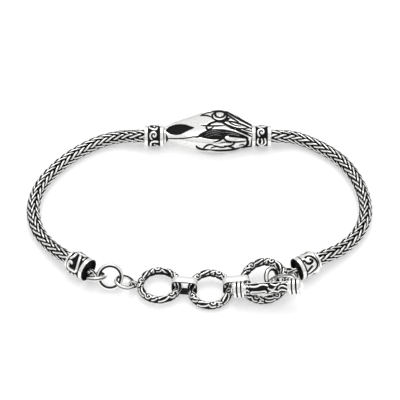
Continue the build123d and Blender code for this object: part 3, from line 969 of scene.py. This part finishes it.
def vine_ring(radius, core, top, repeats, shift):
    """A ring with raised vines, turned over at every second repeat, and black inside."""
    angle, section = ring_angles(*vine_grid)
    travel = (angle / (2 * pi) * repeats + shift) % repeats + 0 * section
    flip = np.where(travel.astype(int) % 2 == 1, -1, 1)
    across = (section % pi - pi / 2) * vine_half / (pi / 2) * flip
    spots = np.stack([(travel % 1 * vine_repeat).reshape(-1), across.reshape(-1)], axis=-1)
    mark = stroke_marks(spots, vine_strokes).reshape(travel.shape)
    mark = mark * rise(abs(section - pi), inner_line, inner_line + inner_fade)
    return skin(ring_grid(radius, core + (top - core) * mark, angle, section), 1 - mark, True)


def toggle_bar():
    """The bar with banded ends, a relief middle and its loop."""
    start, tip, large = bar_end_start, bar_tip_start, bar_end_radius
    low = large - bar_groove_depth

    # Heights and radii from the middle outward: an end with two grooves, and its domed tip
    half = [(start, bar_middle_ground), (start, large), (5.33, large), (5.38, low), (5.62, low),
            (5.67, large), (6.22, large), (6.27, low), (6.55, low), (6.6, large), (tip, large),
            (tip, low + hair), (7.5, 1.25), (7.75, 0.8), (bar_half, 0.3), (bar_half, hair)]
    profile = [(-z, r) for z, r in reversed(half)] + half

    def relief(height, radius, angle):
        middle = (abs(height) < start - bar_middle_margin) & (radius < bar_middle_ground + hair)
        mark = np.zeros(height.shape)
        around = ((angle - radians(bar_face) + pi / 2) % pi - pi / 2) * bar_middle_ground
        mark[middle] = stroke_marks(np.stack([height[middle], around[middle]], axis=-1), bar_strokes)
        mark = np.maximum(mark, 1 - rise(abs(abs(height) - start + bar_ring_place), *bar_ring_fade))
        mark *= middle
        shine = large - bar_shine
        groove = (radius < shine) & (abs(height) > start) & (abs(height) < tip + bar_shine)
        tone = np.where(middle, 1 - mark, groove * (1 - rise(radius, low, shine)))
        return mark * (bar_middle_top - bar_middle_ground), tone

    bar = put(turned(profile, *bar_grid, relief), bar_centre, bar_way)
    loop = put(wire_ring(*bar_loop), bar_loop_centre, bearing(*bar_loop_axis))
    piece("banded_toggle_bar", [bar, loop], "toggle_bar")


def box_middle(low, high):
    """The middle of a solid's box, in the millimetres of this file."""
    return np.add(low, high) / 2 / mm - loop_shift


def band_link(number, heading):
    """A flat band link bent round two rings, with a rounded face."""
    low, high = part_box("band_link_%d" % number)
    tall = (high[2] - low[2]) / mm
    way = bearing(heading)
    length = ((high[0] - low[0]) / mm - band_width * abs(way[1])) / abs(way[0])
    path, out = [], []
    for k, (side_x, side_z) in enumerate(((1, 1), (-1, 1), (-1, -1), (1, -1))):
        for angle in np.linspace(0, pi / 2, band_corner_steps):
            path.append((side_x * (length / 2 - band_corner), side_z * (tall / 2 - band_corner)))
            out.append((cos(angle + k * pi / 2), sin(angle + k * pi / 2)))
    path, out = np.array(path), np.array(out)
    section = full_turn(band_columns)
    cosine, sine = np.cos(section), np.sin(section)
    side = np.sign(cosine) * abs(cosine) ** band_side_power * band_width / 2
    wall = np.sign(sine) * abs(sine) ** band_wall_power * band_wall / 2
    reach = (band_corner - band_wall / 2) + wall[None, :]
    x = path[:, :1] + out[:, :1] * reach
    z = path[:, 1:] + out[:, 1:] * reach
    points = np.stack([x, np.broadcast_to(side, x.shape), z], axis=-1)
    # Painted shade on the inner wall, and painted dark lines along the edges
    shade = np.maximum(rise(-sine, *band_inner_fade), band_edge_line * rise(abs(cosine), *band_edge_fade))
    part = put(skin(points, shade[None, :], True), box_middle(low, high), upright, way)
    piece("smooth_band_link_%d" % number, [part], "band_link_%d" % number, "polished_silver")


def plain_link(number, radius, wire, azimuth, elevation):
    """A plain ring in the middle of its solid's box."""
    low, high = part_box("jump_ring_%d" % number)
    part = put(wire_ring(radius, wire), box_middle(low, high), bearing(azimuth, elevation), link_seam)
    piece("plain_ring_%d" % number, [part], "jump_ring_%d" % number, "polished_silver")


def weave_tree():
    """The tree that weaves a chain along a path, and the values of its inputs."""
    tree = bpy.data.node_groups.new("woven chain", "GeometryNodeTree")
    sizes = {"Half width": chain_half * mm, "Strand": strand_radius * mm, "Length": strand_length * mm,
             "Pitch": weave_pitch * mm, "Core": chain_core * mm, "Start": weave_start * mm,
             "End": weave_end * mm, "Lean": radians(strand_lean), "Dip": strand_dip,
             "Dip start": strand_dip_start, "Wander": strand_wander, "Silver": silvers["woven_silver"]}

    def socket(name, kind, way="INPUT"):
        return tree.interface.new_socket(name=name, in_out=way, socket_type="NodeSocket" + kind).identifier

    socket("Path", "Geometry")
    socket("Chain", "Geometry", "OUTPUT")
    values = {socket(name, "Material" if name == "Silver" else "Float"): value
              for name, value in sizes.items()}
    start = Wire(tree)
    make, maths = start.node, start.maths
    given = make("NodeGroupInput", output="Path")
    size = given.other

    def vectors(operation, first, second=(0, 0, 0), output=0):
        return make("ShaderNodeVectorMath", {0: first, 1: second}, {"operation": operation}, output)

    def scaled(vector, factor):
        return make("ShaderNodeVectorMath", {0: vector, "Scale": factor}, {"operation": "SCALE"})

    def darkened(mesh, hollow):
        return make("GeometryNodeStoreNamedAttribute", {"Geometry": mesh, "Name": "hollow", "Value": hollow})

    def tube(line, sides, radius):
        rim = make("GeometryNodeCurvePrimitiveCircle", {"Resolution": sides, "Radius": size(radius)})
        return make("GeometryNodeCurveToMesh", {"Curve": line, "Profile Curve": rim, "Fill Caps": True})

    def strand(way):
        """One leg of a loop, which leans across its column, and whose ends dip inside."""
        line = make("GeometryNodeCurvePrimitiveLine", {"Start": (0, 0, -1), "End": (0, 0, 1)})
        line = make("GeometryNodeResampleCurve", {"Curve": line, "Count": strand_steps})
        along = make("ShaderNodeSeparateXYZ", {"Vector": make("GeometryNodeInputPosition")}, output="Z")
        lean = maths("SINE", along * (pi / 2)) * size("Lean") * way
        drop = maths("ABSOLUTE", along).spread(size("Dip start"), 1.0, 0.0, size("Dip"), "SMOOTHSTEP")
        reach = (size("Half width") - size("Strand")) * (1.0 - drop)
        spot = make("ShaderNodeCombineXYZ",
                    {"X": reach * maths("COSINE", lean), "Y": reach * maths("SINE", lean),
                     "Z": along * size("Length") * 0.5})
        line = make("GeometryNodeSetPosition", {"Geometry": line, "Position": spot})
        made = tube(line, strand_sides, "Strand")

        # A strand is black toward the middle of the chain and on its flanks: patina with painted shade
        # between the strands, and painted dark reflection on the flanks
        flat = vectors("MULTIPLY", make("GeometryNodeInputPosition"), (1, 1, 0))
        outward = vectors("DOT_PRODUCT", vectors("NORMALIZE", flat), make("GeometryNodeInputNormal"), "Value")
        flank = outward.spread(*flank_fade, 1.0, 0.0)
        deep = vectors("LENGTH", flat, output="Value")
        deep = deep.spread(*[size("Half width") * share for share in deep_fade], 1.0, 0.0)
        made = darkened(made, maths("MAXIMUM", flank, deep))
        return make("GeometryNodeSetShadeSmooth", {"Geometry": made})

    # Strands stand in columns round a straight line, and odd columns lean the other way
    path = make("GeometryNodeMeshToCurve", {"Mesh": given})
    path = make("GeometryNodeSetCurveNormal", {"Curve": path}, {"mode": "Z_UP"})
    whole = make("GeometryNodeCurveLength", {"Curve": path})
    rows = maths("FLOOR", maths("DIVIDE", whole - size("Start") - size("End"), size("Pitch"))) + 1.0
    stops = make("GeometryNodeMeshLine", {"Count": rows * strand_columns})
    number = make("GeometryNodeInputIndex")
    column = maths("MODULO", number, strand_columns)
    row = maths("FLOOR", maths("DIVIDE", number, strand_columns))
    odd = maths("MODULO", column, 2.0)
    drift = {"Min": size("Wander") * -1.0, "Max": size("Wander"), "ID": number, "Seed": weave_seed}
    drift = make("FunctionNodeRandomValue", drift, {"data_type": "FLOAT"}, "Value")
    height = (row + odd * 0.5 + drift) * size("Pitch") + size("Start")
    height = make("ShaderNodeCombineXYZ", {"Z": height})
    stops = make("GeometryNodeSetPosition", {"Geometry": stops, "Position": height})
    roll = make("ShaderNodeCombineXYZ", {"Z": (column + drift) * (2 * pi / strand_columns)})
    roll = make("FunctionNodeEulerToRotation", {"Euler": roll})
    links = [make("GeometryNodeInstanceOnPoints",
                  {"Points": stops, "Selection": chosen, "Instance": strand(way), "Rotation": roll})
             for chosen, way in ((odd, -1.0), (1.0 - odd, 1.0))]
    links = make("GeometryNodeJoinGeometry", {"Geometry": links})
    links = make("GeometryNodeRealizeInstances", {"Geometry": links})

    # The straight weave is then laid along the path, and runs straight on past its ends
    up = make("ShaderNodeSeparateXYZ", {"Vector": make("GeometryNodeInputPosition")}, output="Z")
    travelled = make("ShaderNodeClamp", {"Value": up, "Min": 0.0, "Max": whole})
    found = {"Curves": path, "Length": travelled}
    found = make("GeometryNodeSampleCurve", found, {"mode": "LENGTH"}, "Position")
    tangent, side = found.other("Tangent"), found.other("Normal")
    laid = vectors("ADD", found, scaled(side, up.other("X")))
    laid = vectors("ADD", laid, scaled(vectors("CROSS_PRODUCT", tangent, side), up.other("Y")))
    laid = vectors("ADD", laid, scaled(tangent, up - travelled))
    links = make("GeometryNodeSetPosition", {"Geometry": links, "Position": laid})

    # A black core, painted shade inside the weave, keeps light from passing between the strands
    core = darkened(tube(path, core_sides, "Core"), 1.0)
    whole_chain = make("GeometryNodeJoinGeometry", {"Geometry": [links, core]})
    whole_chain = make("GeometryNodeSetMaterial", {"Geometry": whole_chain, "Material": size("Silver")})
    make("NodeGroupOutput", {"Chain": whole_chain})
    return tree, values


def baked(made):
    """The finished mesh of an object, which is then removed."""
    bpy.context.view_layer.update()
    graph = bpy.context.evaluated_depsgraph_get()
    mesh = bpy.data.meshes.new_from_object(made.evaluated_get(graph), depsgraph=graph)
    bpy.data.objects.remove(made)
    return mesh


def woven_chain(side, route, tree, values):
    """A woven chain whose strands follow a smooth line through its route."""
    curve = bpy.data.curves.new("route_" + side, "CURVE")
    curve.dimensions = "3D"
    curve.resolution_u = route_steps
    spline = curve.splines.new("NURBS")
    spline.points.add(len(route) - 1)
    for point, place in zip(spline.points, route):
        point.co = (*((place + loop_shift) * mm), 1)
    spline.order_u = 3
    spline.use_endpoint_u = True
    bare = placed("line_" + side, baked(placed("route_" + side, curve)))
    modifier = bare.modifiers.new("weave", "NODES")
    modifier.node_group = tree
    for name, value in values.items():
        modifier[name] = value
    finish(placed("woven_chain_" + side, baked(bare)), "chain_" + side)


def aimed(made, place, way):
    """Puts a camera or a light at its place, looking along a way."""
    made.location = place
    made.rotation_euler = way.to_track_quat("-Z", "Y").to_euler()


def softbox(name, azimuth, height, distance, width, tall, power):
    """A square soft light that looks at the bracelet."""
    light = bpy.data.lights.new(name, "AREA")
    light.shape = "RECTANGLE"
    light.size = width
    light.size_y = tall
    light.energy = power
    side, up = radians(azimuth), radians(height)
    way = Vector((sin(side) * cos(up), -cos(side) * cos(up), sin(up)))
    aimed(placed(name, light), way * distance, -way)


# The camera, at the photograph's viewing angle
look = Vector((0, cos(camera_angle), -sin(camera_angle)))
camera = bpy.data.cameras.new("camera")
camera.lens = camera_lens
camera.clip_start, camera.clip_end = camera_clip
viewer = placed("camera", camera)
aimed(viewer, Vector(camera_aim) * mm - look * camera_distance * mm, look)
bpy.context.scene.camera = viewer

# The chains, the head, its beads and the caps
weave = weave_tree()
woven_chain("left", left_route, *weave)
woven_chain("right", right_route, *weave)
eagle_head()
for row in bead_rows:
    bead(*row)
for row in cap_rows:
    cap(*row)

# The ornate rings, the first with its small eye
eye = put(wire_ring(*small_eye), small_eye_centre, small_eye_axis)
for name, node, sizes, shift, centre, axis in ornate_rings:
    ring = put(vine_ring(*sizes, shift), centre, axis, along_row)
    piece(name, [ring, eye] if node == "ornate_ring_1" else [ring], node)

# The toggle bar, the band links and the plain rings
toggle_bar()
for number, heading in enumerate(band_headings, 1):
    band_link(number, heading)
for number, ring in enumerate(plain_rings, 1):
    plain_link(number, *ring)

# The floor
floor_mesh = bpy.data.meshes.new("floor")
corners = [(side_x * floor_reach, side_y * floor_reach, floor_height)
           for side_x, side_y in ((-1, -1), (1, -1), (1, 1), (-1, 1))]
floor_mesh.from_pydata(corners, [], [(0, 1, 2, 3)])
floor = placed("floor", floor_mesh)
paper = bpy.data.materials.new("white paper")
sheet = bare_tree(paper)
white = sheet.node("ShaderNodeBsdfPrincipled",
                   {"Base Color": grey(0.8), "Roughness": 0.9, "Specular IOR Level": 0.1,
                    "Emission Color": grey(1), "Emission Strength": 0.33})
sheet.node("ShaderNodeOutputMaterial", {"Surface": white})
floor_mesh.materials.append(paper)

for row in lamp_rows:
    softbox(*row)

# A pale studio, bright above, with a darker band near the horizon
world = bpy.data.worlds.new("studio")
bpy.context.scene.world = world
sky = bare_tree(world)
upward = sky.node("ShaderNodeTexCoord", output="Generated")
upward = sky.node("ShaderNodeSeparateXYZ", {"Vector": upward}, output="Z")
front = upward.other("Y").spread(*front_band)
tone = sky.node("ShaderNodeMix", {"Factor": front, "A": upward.spread(*sky_band), "B": grey(1)},
                {"data_type": "RGBA"}, "Result")
glow = sky.node("ShaderNodeBackground", {"Color": tone, "Strength": 0.9})
sky.node("ShaderNodeOutputWorld", {"Surface": glow})
bpy.context.scene.view_settings.view_transform = "Standard"
